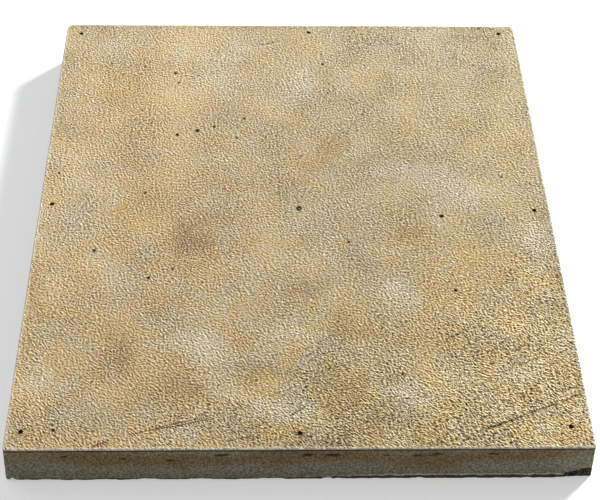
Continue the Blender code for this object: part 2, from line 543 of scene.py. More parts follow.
class MeshDraft:
    """Gathers points and faces, then makes a mesh object of them."""

    def __init__(self):
        self.points = []
        self.faces = []
        self.slots = []
        self.count = 0

    def add_points(self, points):
        """Add an array of points and give back their numbers, in the array's own shape."""
        points = np.asarray(points, float)
        numbers = self.count + np.arange(points[..., 0].size).reshape(points.shape[:-1])
        self.points.append(points.reshape(-1, 3))
        self.count += numbers.size
        return numbers

    def add_quads(self, first, second, third, fourth, slot=0):
        """Add faces through four arrays of point numbers."""
        quads = np.stack([first, second, third, fourth], axis=-1).reshape(-1, 4)
        self.faces.append(quads)
        self.slots.append(np.full(len(quads), slot))

    def add_band(self, lower, upper, slot=0):
        """Join two closed rings of equal length with quads."""
        self.add_quads(lower, np.roll(lower, -1), np.roll(upper, -1), upper, slot)

    def grow(self, ring, plan, height, slot=0):
        """Add a level ring of points, join it to the ring before it, and give it back."""
        following = self.add_points(np.column_stack([plan, np.full(len(plan), height)]))
        if ring is not None:
            self.add_band(ring, following, slot)
        return following

    def mesh(self, name):
        """The finished mesh."""
        mesh = bpy.data.meshes.new(name)
        faces = np.concatenate(self.faces)
        mesh.from_pydata(np.concatenate(self.points).tolist(), [], faces.tolist())
        mesh.polygons.foreach_set("material_index", np.concatenate(self.slots).astype(np.int32))
        return mesh


class Shaping:
    """A mesh opened for changes to its shape, which it gets when the changes are done."""

    def __init__(self, mesh):
        self.mesh = mesh

    def __enter__(self):
        self.builder = bmesh.new()
        self.builder.from_mesh(self.mesh)
        return self.builder

    def __exit__(self, *failure):
        self.builder.to_mesh(self.mesh)
        self.builder.free()


def mesh_points(mesh):
    """A mesh's points as an array."""
    points = np.empty(len(mesh.vertices) * 3, np.float32)
    mesh.vertices.foreach_get("co", points)
    return points.reshape(-1, 3).astype(float)


def set_points(mesh, points):
    """Put changed points back into a mesh."""
    mesh.vertices.foreach_set("co", points.astype(np.float32).ravel())
    mesh.update()


def store_share(mesh, name, values):
    """Keep a number at each point, for the mesh's material to read."""
    layer = mesh.attributes.new(name, "FLOAT", "POINT")
    layer.data.foreach_set("value", np.asarray(values, np.float32))


def fill_loops(mesh, slot):
    """Close a mesh's open rims, all in one level plane, with faces that look down.

    Rims inside other rims are left as holes.
    """
    with Shaping(mesh) as builder:
        rims = [edge for edge in builder.edges if edge.is_boundary]
        made = bmesh.ops.triangle_fill(builder, use_beauty=True, edges=rims, normal=(0, 0, -1))
        for piece in made["geom"]:
            if isinstance(piece, bmesh.types.BMFace):
                piece.material_index = slot
        bmesh.ops.recalc_face_normals(builder, faces=builder.faces)


def add_object(name, data):
    """An object with this data, linked into the scene."""
    obj = bpy.data.objects.new(name, data)
    bpy.context.scene.collection.objects.link(obj)
    return obj


def place_piece(mesh, name, materials, smooth_angle=50):
    """Make the object of a mesh, shade it and let it ride with the slab."""
    obj = add_object(name, mesh)
    for material in materials:
        mesh.materials.append(material)
    mesh.shade_smooth()
    mesh.set_sharp_from_angle(angle=math.radians(smooth_angle))
    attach(obj, "root")
    return obj


def pin_spot(name):
    """A pin's middle in plan and its radius."""
    low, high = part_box(name)
    return (low.x + high.x) / 2, (low.y + high.y) / 2, (high.x - low.x) / 2


# ---- Shader arithmetic ----


class Wire:
    """A number that comes out of a shader node, used in plain arithmetic."""

    def __init__(self, sheet, socket):
        self.sheet = sheet
        self.socket = socket

    def math(self, operation, first, second):
        values = {0: first, 1: second}
        return self.sheet.node("ShaderNodeMath", {"operation": operation}, values)

    def __add__(self, other):
        return self.math("ADD", self, other)

    __radd__ = __add__

    def __sub__(self, other):
        return self.math("SUBTRACT", self, other)

    def __rsub__(self, other):
        return self.math("SUBTRACT", other, self)

    def __mul__(self, other):
        return self.math("MULTIPLY", self, other)

    __rmul__ = __mul__

    def clamped(self):
        """The number held between 0 and 1."""
        wire = self.math("ADD", self, 0.0)
        wire.socket.node.use_clamp = True
        return wire


class Sheet:
    """A node tree being drawn up."""

    def __init__(self, tree):
        self.tree = tree

    def node(self, kind, settings=None, values=None, output=0):
        """Add a node: its settings first, then the values or wires of its sockets."""
        made = self.tree.nodes.new(kind)
        for name, setting in (settings or {}).items():
            setattr(made, name, setting)
        for key, value in (values or {}).items():
            self.feed(made.inputs[key], value)
        return Wire(self, made.outputs[output])

    def feed(self, socket, value):
        """Give a socket a wire or a plain value."""
        if isinstance(value, Wire):
            self.tree.links.new(value.socket, socket)
        else:
            socket.default_value = value

    def place(self):
        """Where a point is on the slab, in metres."""
        return self.node("ShaderNodeTexCoord", output="Object")

    def part(self, vector, axis):
        """One of a vector's three numbers."""
        return self.node("ShaderNodeSeparateXYZ", values={0: vector}, output=axis)

    def vector(self, operation, first, second):
        """Two vectors put together."""
        values = {0: first, 1: second}
        return self.node("ShaderNodeVectorMath", {"operation": operation}, values)

    def shaded(self, colour, factor):
        """A colour made lighter or darker by a number."""
        values = {0: colour, "Scale": factor}
        return self.node("ShaderNodeVectorMath", {"operation": "SCALE"}, values)

    def noise(self, place, size, detail=3.0, roughness=0.55, output="Fac"):
        """Cloudy noise from 0 to 1, its features about this size in metres."""
        values = {"Vector": place, "Scale": 1 / size, "Detail": detail, "Roughness": roughness}
        return self.node("ShaderNodeTexNoise", {"noise_dimensions": "3D"}, values, output)

    def step(self, value, low, high):
        """A smooth step from 0 at low to 1 at high."""
        values = {"Value": value, "From Min": low, "From Max": high}
        return self.node("ShaderNodeMapRange", {"interpolation_type": "SMOOTHSTEP"}, values)

    def mix(self, first, second, share):
        """Two colours mixed by a share."""
        colours = [value if isinstance(value, Wire) else (*value, 1.0) for value in (first, second)]
        values = {0: share, 6: colours[0], 7: colours[1]}
        return self.node("ShaderNodeMix", {"data_type": "RGBA"}, values, 2)

    def attribute(self, name):
        """A number kept at the points of the mesh."""
        return self.node("ShaderNodeAttribute", {"attribute_name": name}, output="Fac")

    def turned(self, place, turn, stretch):
        """A place turned about Z and drawn out, so that noise in it makes streaks."""
        values = {"Vector": place, "Rotation": (0, 0, math.radians(turn)), "Scale": (1, stretch, 1)}
        return self.node("ShaderNodeMapping", {"vector_type": "TEXTURE"}, values)

    def ragged(self, place, size, reach):
        """A place pushed about by noise, so that drawn shapes get uneven outlines."""
        push = self.noise(place, size, 3.0, output="Color")
        centred = self.vector("SUBTRACT", push, (0.5, 0.5, 0.5))
        return self.vector("ADD", place, self.shaded(centred, reach))

    def cloud(self, place, middle, reach):
        """A soft-edged ball, drawn out, 1 in its middle and 0 outside, in millimetres."""
        values = {
            "Vector": place,
            "Location": tuple(number * MM for number in middle),
            "Scale": tuple(number * MM for number in reach),
        }
        inside = self.node("ShaderNodeMapping", {"vector_type": "TEXTURE"}, values)
        away = self.node("ShaderNodeVectorMath", {"operation": "LENGTH"}, {0: inside}, "Value")
        return self.step(away, 1.25, 0.1)

    def bump(self, height, distance, strength=1.0, under=None):
        """A bump from a height map, on top of another."""
        values = {"Height": height, "Distance": distance, "Strength": strength}
        if under:
            values["Normal"] = under
        return self.node("ShaderNodeBump", values=values)


class StoneSheet(Sheet):
    """A material being drawn up."""

    def __init__(self, name, display_colour):
        self.material = bpy.data.materials.new(name)
        self.material.use_nodes = True
        self.material.diffuse_color = (*display_colour, 1)
        super().__init__(self.material.node_tree)

    def finish(self, looks):
        """Feed the shader's sockets and give back the material."""
        shader = self.tree.nodes["Principled BSDF"]
        for name, value in looks.items():
            self.feed(shader.inputs[name], value)
        return self.material


def grained_stone(colours):
    """The buff and ochre working face, with pale clouds; painted shade darkens its creases, pits, holes and
    scratches, and painted highlights lighten its grain's crowns and its worn arris.
    """
    sheet = StoneSheet("grained_buff_stone", colours.warm_buff)
    place = sheet.place()
    drifting = sheet.ragged(sheet.ragged(place, 0.045, 0.055), 0.011, 0.016)
    back = sheet.part(place, "Y") * (1 / HALF_DEPTH)
    side = sheet.part(place, "X") * (1 / HALF_WIDTH)

    broad = sheet.noise(drifting, 0.050, 4.0, 0.6) - 0.5
    streaks = sheet.noise(sheet.turned(drifting, -40, 2.6), 0.011, 4.0, 0.6) - 0.5
    small = sheet.noise(drifting, 0.0075, 3.0, 0.6) - 0.5
    busy = 1.0 - sheet.step(back, -0.9, 0.5) * 0.45
    mottle = broad * 0.25 + streaks * 0.45 + small * 0.3
    # Painted sheen: the colour is made lighter towards the back, standing in for the sheen of the grazing
    # light there.
    light = sheet.attribute("light") * 1.22 + back * 0.28 - side * 0.02 + mottle * busy

    patches = sheet.noise(sheet.ragged(place, 0.020, 0.024), 0.017, 5.0, 0.62)
    drift = sheet.step(patches, 0.38, 0.62) - 0.5
    tint = drift * 0.62 - streaks * 1.1 - small * 0.6 - broad * 0.6
    warmth = sheet.attribute("warmth") * 0.70 - back * 0.12 - side * 0.03 + tint * busy + 0.52

    arris_wear_and_highlight = sheet.attribute("arris_wear_and_highlight")
    recess_shade = sheet.attribute("recess_shade")
    grains = sheet.noise(place, 0.0016, 2.0, 0.6)
    strokes = sheet.noise(sheet.turned(place, 54, 2.0), 0.00084, 1.0, 0.45) - 0.5
    wrinkles = sheet.attribute("grain") * 0.27 + 0.5 + strokes * 0.85
    lively = sheet.attribute("lively")
    crease_shade = sheet.step(wrinkles, 0.45, 0.24) * lively
    crest_highlight = sheet.step(wrinkles, 0.52, 0.76) * lively
    rightward = sheet.step(side - back * 0.3, -0.8, 0.9)
    warm = sheet.mix(colours.warm_buff, colours.olive_buff, rightward)
    buff = sheet.mix(colours.cool_buff, warm, (warmth + grains * 0.5 - 0.25).clamped())
    buff = sheet.shaded(buff, light * 0.21 + 1.13)
    # Painted shade: the creases of the grain are mixed towards this darkened copy of the buff.
    shade = sheet.vector("MULTIPLY", buff, (0.22, 0.18, 0.12))
    buff = sheet.mix(buff, shade, (crease_shade * 1.4).clamped())
    # Painted highlight: the crowns of the grain are mixed towards pale cream.
    buff = sheet.mix(buff, (0.92, 0.82, 0.62), (crest_highlight * 0.95).clamped())
    # Painted highlight over a little wear: the arris is mixed towards pale cream.
    buff = sheet.mix(buff, (0.86, 0.79, 0.63), arris_wear_and_highlight)
    # Painted shade: pits, pin holes and scratches are darkened nearly to black.
    buff = sheet.mix(buff, colours.painted_shade_dark, recess_shade)

    fine = sheet.noise(place, 0.0006, 3.0, 0.65)
    wrinkled = sheet.bump(wrinkles * lively, 0.0036, 1.0)
    normal = sheet.bump(fine, 0.00012, 0.6, wrinkled)
    rough = 0.48 + sheet.noise(place, 0.020) * 0.25
    return sheet.finish({"Base Color": buff, "Roughness": rough, "Normal": normal})


def edge_stone(colours):
    """The sawn edges: speckled olive grey, with iron stains and flaws, a painted shade line under the arris,
    and a painted shadow along the foot with a painted highlight line above it.
    """
    sheet = StoneSheet("sawn_edge_stone", colours.edge_grey)
    place = sheet.place()
    drifting = sheet.ragged(place, 0.016, 0.012)
    band = sheet.step(sheet.part(drifting, "Z"), 0.015, 0.025)
    drift = sheet.step(sheet.noise(place, 0.055, 3.0, 0.55), 0.35, 0.72)
    stain = band * drift * 0.8
    for x, long, middle, tall, strength in EDGE_STAINS:
        spot = sheet.cloud(drifting, (x, -HALF_DEPTH / MM, middle), (long, 14, tall))
        stain = spot * strength + stain
    fleck = sheet.noise(place, 0.0022, 3.0, 0.7)
    stain = (stain * (0.65 + fleck)).clamped()
    stone = sheet.mix(colours.edge_grey, colours.edge_brown, stain)
    tone = 0.60 + sheet.step(sheet.noise(place, 0.0016, 4.0, 0.75), 0.25, 0.75) * 0.45
    tone = tone + sheet.noise(place, 0.030, 2.0) * 0.30
    stone = sheet.shaded(stone, tone)
    speckle = sheet.noise(place, 0.0014, 2.0, 0.7)
    stone = sheet.shaded(stone, 0.58 + sheet.step(speckle, 0.38, 0.64) * 0.96)
    stone = sheet.mix(stone, (0.018, 0.014, 0.010), flaws(sheet, place))

    # Painted shade: a dark line just under the rounded arris, where the edge turns away from the light.
    lip = sheet.step(sheet.part(place, "Z"), TOP - 2.9 * MM, TOP - 2.2 * MM)
    stone = sheet.shaded(stone, 1.0 - lip * 0.78)
    # Painted shadow: the foot of the walls is darkened nearly to black along a ragged line that rises
    # towards the front right.
    front = sheet.step(sheet.part(place, "Y"), -0.130, -0.175)
    crumbly = sheet.step(sheet.part(place, "X"), -0.020, 0.060) * (0.3 + front * 0.7)
    foot_shadow_height = sheet.part(sheet.ragged(place, 0.005, 0.0034), "Z") - crumbly * 0.0017
    rim = sheet.step(foot_shadow_height, 0.0034, 0.0025) - sheet.step(foot_shadow_height, 0.0022, 0.0015)
    # Painted highlight: a thin light line just above the painted foot shadow.
    stone = sheet.shaded(stone, 1.0 + rim * crumbly * 1.3)
    stone = sheet.mix(stone, colours.painted_shade_dark, sheet.step(foot_shadow_height, 0.0020, 0.0012) * 0.9)
    # Painted shade in the open gaps where the bed has broken away.
    stone = sheet.mix(stone, colours.painted_shade_dark, sheet.attribute("recess_shade"))

    grit = sheet.noise(place, 0.0009, 4.0, 0.7)
    coarse = sheet.noise(place, 0.0040, 3.0, 0.6)
    normal = sheet.bump(grit, 0.00030, 0.8, sheet.bump(coarse, 0.0006, 0.8))
    looks = {"Base Color": stone, "Roughness": 0.86, "Specular IOR Level": 0.3}
    return sheet.finish(looks | {"Normal": normal})


def flaws(sheet, place):
    """Dark flaws broken out along the joint on the front edge."""
    torn = sheet.ragged(place, 0.0030, 0.0040)
    total = 0.0
    for x, long, middle, tall in EDGE_FLAWS:
        total = sheet.cloud(torn, (x, -HALF_DEPTH / MM, middle), (long, 6, tall)) + total
    return sheet.step(total, 0.20, 0.55)


def broken_stone(colours):
    """The fresh rough break at the corner and in the nicks."""
    sheet = StoneSheet("broken_stone", colours.edge_grey)
    place = sheet.place()
    grain = sheet.noise(place, 0.0016, 4.0, 0.75)
    shade = sheet.step(grain, 0.44, 0.74)
    stone = sheet.mix((0.005, 0.005, 0.004), (0.160, 0.155, 0.115), shade)
    normal = sheet.bump(grain, 0.0012, 1.0)
    looks = {"Base Color": stone, "Roughness": 0.9, "Specular IOR Level": 0.1}
    return sheet.finish(looks | {"Normal": normal})


def dull_pin_steel(colours):
    """Darkened steel wire with a brown bloom."""
    sheet = StoneSheet("dull_pin_steel", colours.steel)
    place = sheet.place()
    bloom = sheet.step(sheet.noise(place, 0.0006, 3.0, 0.7), 0.42, 0.68)
    steel = sheet.mix(colours.steel, (0.10, 0.055, 0.028), bloom)
    normal = sheet.bump(sheet.noise(place, 0.0003, 2.0, 0.6), 0.00006)
    looks = {"Base Color": steel, "Roughness": 0.32 + bloom * 0.45, "Metallic": 1.0 - bloom * 0.8}
    return sheet.finish(looks | {"Normal": normal})


def pale_floor(colours):
    """The plain floor, with the faintest unevenness and a little light of its own in its shadows."""
    sheet = StoneSheet("pale_floor", colours.floor)
    tone = 0.985 + sheet.noise(sheet.place(), 0.4) * 0.03
    looks = {"Base Color": sheet.shaded(tuple(colours.floor), tone), "Roughness": 0.8}
    return sheet.finish(looks | {"Emission Color": (1, 1, 1, 1), "Emission Strength": 0.42})


MATERIALS = {}


def material_of(maker):
    """A material made once and then shared."""
    if maker.__name__ not in MATERIALS:
        MATERIALS[maker.__name__] = maker(bpy.context.scene.slab_colours)
    return MATERIALS[maker.__name__]


# ---- Operators ----


class SLAB_OT_facing(bpy.types.Operator):
    """Build the facing panel with its grained working face, pits, scratches and pin holes"""

    bl_idname = "slab.build_facing"
    bl_label = "Facing Panel"

    # The regular part of the face stops this far from the edge.
    BORDER = 4.8 * MM

    # Room left round a hole and round a pit, for the cells that fit it to the regular part.
    HOLE_ROOM = 1.0 * MM
    PIT_ROOM = 0.6 * MM

    # Those cells lie in rings at these shares of the way in to the hole.
    FITTING_SHARES = (0.34, 0.67)

    # The worn lip round each pin hole.
    LIP = 0.25 * MM

    # The mouths of the outer holes are worn by this much.
    MOUTH_WEAR = 0.08 * MM

    # A pit's rings, as shares of its radius and of its depth.
    PIT_SHAPE = ((1.0, 0.0), (0.92, 0.12), (0.84, 0.4), (0.70, 0.72), (0.42, 0.94))
    DEEPEST_PIT = 1.3 * MM

    # Rings of points in the border, and down the edge to the joint.
    BORDER_RINGS = 10
    EDGE_RINGS = 9

    # Cells are split out to a scratch's width and this much more, in millimetres. They are on the face
    # where they lie no further below its top than the tolerance.
    SCRATCH_ROOM = 0.7
    LEVEL_TOLERANCE = 0.01 * MM

    # Spacing of the outline's points from which the border takes its directions.
    FINE_STEP = 0.15 * MM

    def execute(self, context):
        sizes = context.scene.slab_sizes
        self.step = sizes.face_step
        self.relief = FaceRelief(sizes.grain_depth)
        self.draft = MeshDraft()
        self.lay_edge(self.lay_face(), sizes)
        mesh = self.draft.mesh("grained_facing")
        fill_loops(mesh, 1)
        self.refine_scratches(mesh)
        self.shape_face(mesh)
        materials = [material_of(grained_stone), material_of(edge_stone)]
        piece = place_piece(mesh, "grained_facing", materials)
        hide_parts("facing_panel")
        return {"FINISHED"}

    def lay_face(self):
        """Lay the face's regular grid, leaving out the blocks round holes and pits, and fit those."""
        across = 2 * round((HALF_WIDTH - self.BORDER) / self.step)
        deep = 2 * round((HALF_DEPTH - self.BORDER) / self.step)
        self.xs = np.linspace(self.BORDER - HALF_WIDTH, HALF_WIDTH - self.BORDER, across + 1)
        self.ys = np.linspace(self.BORDER - HALF_DEPTH, HALF_DEPTH - self.BORDER, deep + 1)
        flat = np.stack(np.broadcast_arrays(self.xs[:, None], self.ys[None, :], TOP), axis=-1)
        grid = self.grid = self.draft.add_points(flat)
        kept = np.ones((across, deep), bool)
        for name in PIN_NAMES:
            x, y, radius = pin_spot(name)
            block = self.block_round(x, y, radius + PIN_CLEARANCE + self.HOLE_ROOM)
            kept[block] = False
            self.fit_hole(block, (x, y), radius, name)
        for x, y, radius in self.pit_spots():
            block = self.block_round(x, y, radius + self.PIT_ROOM)
            if block and kept[block].all():
                kept[block] = False
                self.fit_pit(block, (x, y), radius)
        column, row = np.nonzero(kept)
        self.draft.add_quads(
            grid[column, row], grid[column + 1, row], grid[column + 1, row + 1], grid[column, row + 1]
        )
        return np.concatenate([grid[:-1, 0], grid[-1, :-1], grid[:0:-1, -1], grid[0, :0:-1]])

    def pit_spots(self):
        """The open pits, and smaller ones strewn between them, in metres."""
        spots = [(x * MM, y * MM, width * PIT_MOUTH * MM) for x, y, width in PITS]
        strewn = np.random.RandomState(SEEDS["pits"])
        for _ in range(STRAY_PITS):
            x = strewn.uniform(-0.94, 0.94) * HALF_WIDTH
            y = strewn.uniform(-0.95, 0.95) * HALF_DEPTH
            spots.append((x, y, strewn.uniform(*STRAY_MOUTHS) * MM))
        return spots

    def block_round(self, x, y, reach):
        """The square block of the grid's cells round a spot, or None where the grid has no room."""
        count = math.ceil(reach / self.step)
        middles = round((x - self.xs[0]) / self.step), round((y - self.ys[0]) / self.step)
        lengths = len(self.xs), len(self.ys)
        fits = (count <= at <= size - 1 - count for at, size in zip(middles, lengths))
        if not all(fits):
            return None
        return tuple(slice(at - count, at + count) for at in middles)

    def rim_of(self, numbers, block):
        """The ring of a grid's numbers round a block, anticlockwise."""
        left, right = block[0].start, block[0].stop
        front, behind = block[1].start, block[1].stop
        return np.concatenate(
            [
                numbers[left:right, front],
                numbers[right, front:behind],
                numbers[right:left:-1, behind],
                numbers[left, behind:front:-1],
            ]
        )

    def fit_rings(self, block, middle, rings):
        """Join a block's square rim to a round hole through rings of (radius, height)."""
        columns, rows = (self.rim_of(numbers, block) for numbers in np.indices(self.grid.shape))
        offsets = np.column_stack([self.xs[columns], self.ys[rows]]) - np.array(middle)
        reach = np.linalg.norm(offsets, axis=1, keepdims=True)
        mouth = rings[0][0]
        fitting = [(reach * (1 - share) + mouth * share, TOP) for share in self.FITTING_SHARES]
        last = self.rim_of(self.grid, block)
        for radius, height in fitting + rings:
            last = self.draft.grow(last, np.array(middle) + offsets / reach * radius, height)
        return last

    def fit_hole(self, block, middle, radius, name):
        """A worn round hole right through the facing."""
        wall = radius + PIN_CLEARANCE
        mouth = wall + (MOUTH_WIDENING if name == CENTRE_PIN else self.MOUTH_WEAR)
        rings = [
            (mouth + self.LIP, TOP),
            (mouth + self.LIP * 0.45, TOP - 0.06 * MM),
            (mouth + self.LIP * 0.1, TOP - 0.20 * MM),
            (mouth, TOP - 0.45 * MM),
        ]
        if name == CENTRE_PIN:
            rings += [(mouth, TOP - 1.2 * MM), (mouth, TOP - MOUTH_DEPTH)]
            rings += [(wall, TOP - MOUTH_DEPTH - 0.1 * MM)]
        rings += [(wall, TOP - depth * MM) for depth in (3.0, 4.0, 5.0)]
        rings += [(wall, JOINT_TOP)]
        self.fit_rings(block, middle, rings)

    def fit_pit(self, block, middle, radius):
        """A small open pit, closed at its bottom."""
        deep = min(radius * 1.9, self.DEEPEST_PIT)
        rings = [(radius * wide, TOP - deep * down) for wide, down in self.PIT_SHAPE]
        last = self.fit_rings(block, middle, rings)
        bottom = self.draft.add_points(np.array([[*middle, TOP - deep]]))
        following = np.roll(last, -1)
        for index in range(0, len(last), 2):
            third = following[(index + 1) % len(last)]
            quad = np.array([last[index], following[index], third, bottom[0]])
            self.draft.add_quads(*(quad[number : number + 1] for number in range(4)))

    def lay_edge(self, inner_loop, sizes):
        """Carry the face out to its softened arris, down the edge and to the joint."""
        inner = np.concatenate(self.draft.points)[inner_loop]
        outer, outward, run = self.matched_outline(inner)
        fall = edge_fall(outer, run)
        outer = outer - outward * fall[:, None]
        arris = sizes.arris
        ring = inner_loop
        for share in np.linspace(0, 1, self.BORDER_RINGS + 1)[1:]:
            plan = inner[:, :2] * (1 - share) + (outer - outward * arris) * share
            ring = self.draft.grow(ring, plan, TOP)
        for angle in np.radians((15, 30, 45, 60, 75, 90)):
            setback = arris * (1 - math.sin(angle))
            height = TOP - arris * (1 - math.cos(angle))
            ring = self.draft.grow(ring, leaned(outer - outward * setback, height), height)
        rough = PlanNoise(SEEDS["rock"])
        for height in np.linspace(TOP - arris, JOINT_TOP, self.EDGE_RINGS + 1)[1:]:
            back = wall_fall(rough, run, height) * sizes.wall_roughness
            ring = self.draft.grow(ring, leaned(outer - outward * back[:, None], height), height, 1)

    def matched_outline(self, inner):
        """The point of the rounded outline that belongs to each point of the face's rectangular border."""
        places, directions, run = outline(self.FINE_STEP)
        reach = 3 * self.BORDER
        corner = np.array([HALF_WIDTH, HALF_DEPTH]) - self.BORDER
        found = np.empty((len(inner), 2))
        for number, (x, y) in enumerate(inner[:, :2]):
            side = np.array([math.copysign(1, x), math.copysign(1, y)])
            left = corner - np.abs((x, y))
            along = 0 if left[0] > left[1] else 1
            place = np.abs((x, y))
            place[1 - along] += self.BORDER
            if left[along] < reach:
                radius = corner_radius(y)
                whole = reach + self.BORDER - radius + radius * math.pi / 4
                place = self.corner_place(along, left[along] / reach * whole, radius)
            found[number] = place * side
        nearest = nearest_of(found, places)
        return found, directions[nearest], run[nearest]

    def corner_place(self, along, left_run, radius):
        """A place on the outline this far from the middle of a corner's arc."""
        arc = radius * math.pi / 4
        if left_run < arc:
            angle = math.pi / 4 + left_run / radius
            offset = radius * np.array([math.cos(angle), math.sin(angle)])
        else:
            offset = np.array([arc - left_run, radius])
        place = np.array([HALF_WIDTH, HALF_DEPTH]) - radius
        return place + (offset if along == 0 else offset[::-1])

    def refine_scratches(self, mesh):
        """Split the cells near the scratches, so that a thin groove can be cut in them."""
        with Shaping(mesh) as builder:
            points = np.array([vertex.co for vertex in builder.verts])
            near = np.zeros(len(points), bool)
            for path, width, _ in SCRATCHES:
                distance, _ = distance_to_path(points[:, 0] / MM, points[:, 1] / MM, path)
                near |= distance < width + self.SCRATCH_ROOM
            near &= points[:, 2] > TOP - self.LEVEL_TOLERANCE
            edges = [
                edge for edge in builder.edges if all(near[vertex.index] for vertex in edge.verts)
            ]
            bmesh.ops.subdivide_edges(builder, edges=edges, cuts=2, use_grid_fill=True)

    def shape_face(self, mesh):
        """Press the grain, the swells and the scratches into the face, and keep its tones, its painted shade
        and its painted arris highlight.
        """
        points = mesh_points(mesh)
        x, y, z = points[:, 0] / MM, points[:, 1] / MM, points[:, 2]
        below = (TOP - z) / MM
        on_face = ease(below, 1.2, 0.15)
        wrinkles = self.relief.wrinkles(x, y)
        strength = self.relief.strength(x, y)
        edge_distance = np.minimum(HALF_WIDTH / MM - np.abs(x), HALF_DEPTH / MM - np.abs(y))
        whole = ease(edge_distance, 0.2, 2.5) * 0.7 + 0.3
        grain = (wrinkles - 1.0) * 0.5 * self.relief.depth * strength * whole
        groove, recess_shade = self.relief.scratch(x, y)
        swells = self.relief.swells(x, y) - 0.15
        drop = np.minimum(grain + swells * whole, 0) - groove
        points[:, 2] += drop * MM * on_face
        set_points(mesh, points)
        # Painted shade: every place lying more than about half a millimetre below the face, in pits and
        # holes, is darkened, and so are the scratches.
        bottom = ease(below, 0.10, 0.45) * (edge_distance > 3.0)
        # Painted highlight over a little wear: the top of the arris is paled, most on the right edge, where
        # the key light catches it.
        arris_rub_and_highlight = ease(edge_distance, 1.9, 0.7) * ease(below, 1.6, 0.7)
        arris_rub_and_highlight = arris_rub_and_highlight * (0.55 + 0.45 * ease(x, 150, 158))
        light, warmth = FaceTones()(x, y)
        store_share(mesh, "light", light)
        store_share(mesh, "warmth", warmth)
        store_share(mesh, "grain", wrinkles)
        store_share(mesh, "lively", np.clip(strength / self.relief.DEEPEST, 0, 1))
        store_share(mesh, "arris_wear_and_highlight", arris_rub_and_highlight)
        store_share(mesh, "recess_shade", np.clip(np.maximum(recess_shade * on_face, bottom * 0.97), 0, 1))


def nearest_of(found, places):
    """For each found place, the number of the nearest of many places, block by block."""
    nearest = np.empty(len(found), int)
    for start in range(0, len(found), 256):
        block = found[start : start + 256]
        apart = np.linalg.norm(block[:, None, :] - places[None, :, :], axis=-1)
        nearest[start : start + 256] = apart.argmin(axis=1)
    return nearest


def wall_fall(noise, run, height):
    """How far a sawn edge falls back at a height, from 0 to about 1."""
    along = run / MM
    up = np.full_like(along, height / MM)
    coarse = noise(along / 9, up / 6)
    fine = noise(along / 2.4, up / 2.0 + 50)
    return np.clip(0.45 + 0.40 * coarse + 0.30 * fine, 0, 1.3)


def rough_wall(sizes, heights, extra_fall):
    """The rough wall of a layer, as rings at these heights that also fall back by an extra part."""
    noise = PlanNoise(SEEDS["rock"])
    places, outward, run = outline(sizes.wall_step)
    fall = edge_fall(places, run)
    draft = MeshDraft()
    ring = None
    for height in heights:
        rough = wall_fall(noise, run, height) * sizes.wall_roughness
        back = fall + rough + extra_fall(noise, run, height)
        ring = draft.grow(ring, leaned(places - outward * back[:, None], height), height)
    return draft


class SLAB_OT_bed(bpy.types.Operator):
    """Build the bonding bed, squeezed out flush with the edges and broken away in places"""

    bl_idname = "slab.build_bed"
    bl_label = "Bonding Bed"

    # The bed stays this far off the facing and the backing, and breaks away by up to this much.
    GAP = 0.04 * MM
    BROKEN_DEPTH = 0.7

    def execute(self, context):
        self.recess_shade = []
        heights = np.linspace(JOINT_BOTTOM + self.GAP, JOINT_TOP - self.GAP, 5)
        draft = rough_wall(context.scene.slab_sizes, heights, self.broken_away)
        mesh = draft.mesh("squeezed_bed")
        mesh.materials.append(material_of(edge_stone))
        store_share(mesh, "recess_shade", np.concatenate(self.recess_shade))
        solid = bored(mesh, "squeezed_bed", BED_LOW.z - DRILL_OVERRUN)
        piece = place_piece(solid, "squeezed_bed", [], 40)
        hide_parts("bonding_bed")
        return {"FINISHED"}

    def broken_away(self, noise, run, height):
        """How far the bed has broken away, the same at every height; it notes the painted shade in the gaps.
        """
        open_joint = np.clip(noise(run / MM / 11 + 3, 0 * run + 90.5) - 0.42, 0, 1) * 3.2
        # Painted shade darkens the gaps where the bed has broken away.
        self.recess_shade.append(np.clip(open_joint * 1.2, 0, 0.9))
        return np.clip(open_joint, 0, 1) * self.BROKEN_DEPTH * MM


def bored(mesh, name, hole_bottom, *breaks):
    """Close a wall's top and bottom rims, bore the pin holes and take out broken lumps."""
    with Shaping(mesh) as builder:
        rims = [edge for edge in builder.edges if edge.is_boundary]
        bmesh.ops.holes_fill(builder, edges=rims, sides=0)
        bmesh.ops.recalc_face_normals(builder, faces=builder.faces)
    top = TOP + DRILL_OVERRUN
    drills = bpy.data.meshes.new("pin_drills")
    drills.materials.append(material_of(edge_stone))
    with Shaping(drills) as builder:
        for pin in PIN_NAMES:
            x, y, radius = pin_spot(pin)
            bmesh.ops.create_cone(
                builder,
                cap_ends=True,
                segments=HOLE_SIDES,
                radius1=radius + PIN_CLEARANCE,
                radius2=radius + PIN_CLEARANCE,
                depth=top - hole_bottom,
                matrix=Matrix.Translation((x, y, (top + hole_bottom) / 2)),
            )
    return cut_away(mesh, name, (drills, *breaks))


def cut_away(mesh, name, cutters):
    """The mesh with the cutters' shapes taken out of it."""
    shapes = (mesh, *cutters)
    helpers = [add_object(f"{name}_{number}", shape) for number, shape in enumerate(shapes)]
    for helper in helpers[1:]:
        boolean = helpers[0].modifiers.new(helper.name, "BOOLEAN")
        boolean.operation = "DIFFERENCE"
        boolean.solver = "EXACT"
        boolean.object = helper
        boolean.material_mode = "TRANSFER"
    graph = bpy.context.evaluated_depsgraph_get()
    solid = bpy.data.meshes.new_from_object(helpers[0].evaluated_get(graph))
    solid.name = name
    for helper in helpers:
        bpy.data.objects.remove(helper)
    if not solid.polygons:
        raise RuntimeError(f"cutting {name} left nothing")
    return solid


